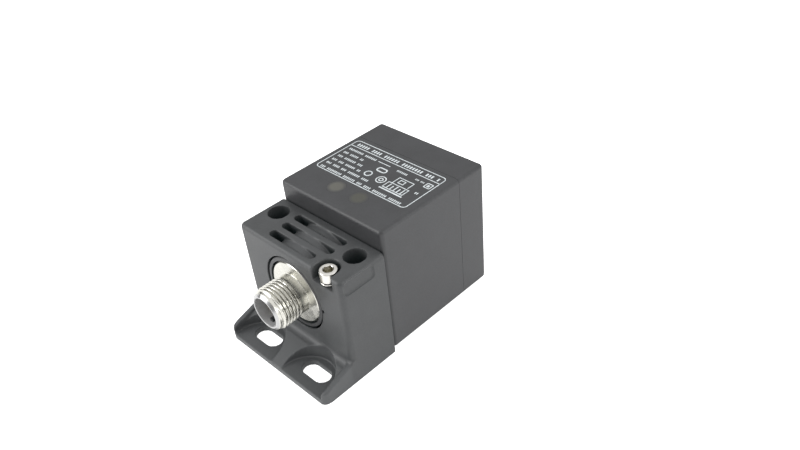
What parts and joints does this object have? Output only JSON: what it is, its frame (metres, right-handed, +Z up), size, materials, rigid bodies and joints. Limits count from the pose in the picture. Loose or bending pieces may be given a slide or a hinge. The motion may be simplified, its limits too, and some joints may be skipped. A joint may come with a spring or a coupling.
{
  "type": "rectangular inductive proximity sensor",
  "caption": "Inductive proximity sensor with a square turnable head, a round plug connector and a screw-clamped mounting base with a slotted flange.",
  "frame": {"origin": "on the base's flat mounting face, midway between the two vertical fixing holes", "axes": "+Z up out of the mounting face, +Y from the plug connector towards the sensing face, +X to the right seen from the connector's end"},
  "size_m": [0.04, 0.0645, 0.04],
  "materials": {
    "base_plastic": "fine matt moulded",
    "head_plastic": "fine matt moulded",
    "print_white": "printed ink",
    "nickel": "nickel plated brass, bright",
    "steel": "stainless, bright",
    "zinc": "die cast",
    "insert_plastic": "moulded",
    "gold": "gold plated",
    "seal_rubber": "moulded",
    "board_green": "solder resist",
    "chip_black": "moulded",
    "aluminium_can": "drawn",
    "led_lens": "clear tinted",
    "window": "translucent, satin",
    "ferrite": "sintered",
    "bobbin_plastic": "moulded",
    "copper": "enamelled wire",
    "resin": "cast",
    "lead_brown": "wire insulation",
    "lead_white": "wire insulation",
    "lead_blue": "wire insulation",
    "lead_black": "wire insulation"
  },
  "bodies": {
    "base": {"mounting_base": "base_plastic"},
    "lock_screw": {"lock_screw": "steel", "lock_washer": "steel"},
    "clamp_jaw": {"clamp_jaw": "zinc"},
    "head": {"head_housing": "head_plastic", "sensing_cap": "head_plastic", "led_window_1": "window", "led_window_2": "window", "connector_shell": "nickel", "connector_seal": "seal_rubber", "connector_nut": "nickel", "contact_carrier": "insert_plastic", "contact_pin_1": "gold", "contact_pin_2": "gold", "contact_pin_3": "gold", "contact_pin_4": "gold", "lead_brown": "lead_brown", "lead_white": "lead_white", "lead_blue": "lead_blue", "lead_black": "lead_black", "circuit_board": "board_green", "sensor_chip": "chip_black", "output_transistor": "chip_black", "protection_diode": "chip_black", "board_capacitor": "aluminium_can", "status_led_1": "led_lens", "status_led_2": "led_lens", "potting_block": "resin", "shield_ring": "nickel", "ferrite_core": "ferrite", "coil_bobbin": "bobbin_plastic", "sensing_coil": "copper", "coil_lead_1": "copper", "coil_lead_2": "copper"}
  },
  "joints": [
    {"name": "head_turn", "type": "hinge", "parent": "base", "child": "head", "pos_m": [0, 0.005, 0.02025], "axis": [0, 1, 0], "continuous": true},
    {"name": "lock_screw_turn", "type": "hinge", "parent": "base", "child": "lock_screw", "pos_m": [0.0131, -0.0072, 0.0306], "axis": [0, 0, 1], "range_deg": [0, 1080]},
    {"name": "jaw_release", "type": "slide", "parent": "base", "child": "clamp_jaw", "axis": [0, 0, -1], "range_m": [0, 0.0015]}
  ],
  "couplings": [
    {"joint": "lock_screw_turn", "follows": "jaw_release", "rad_per_m": 12566}
  ]
}
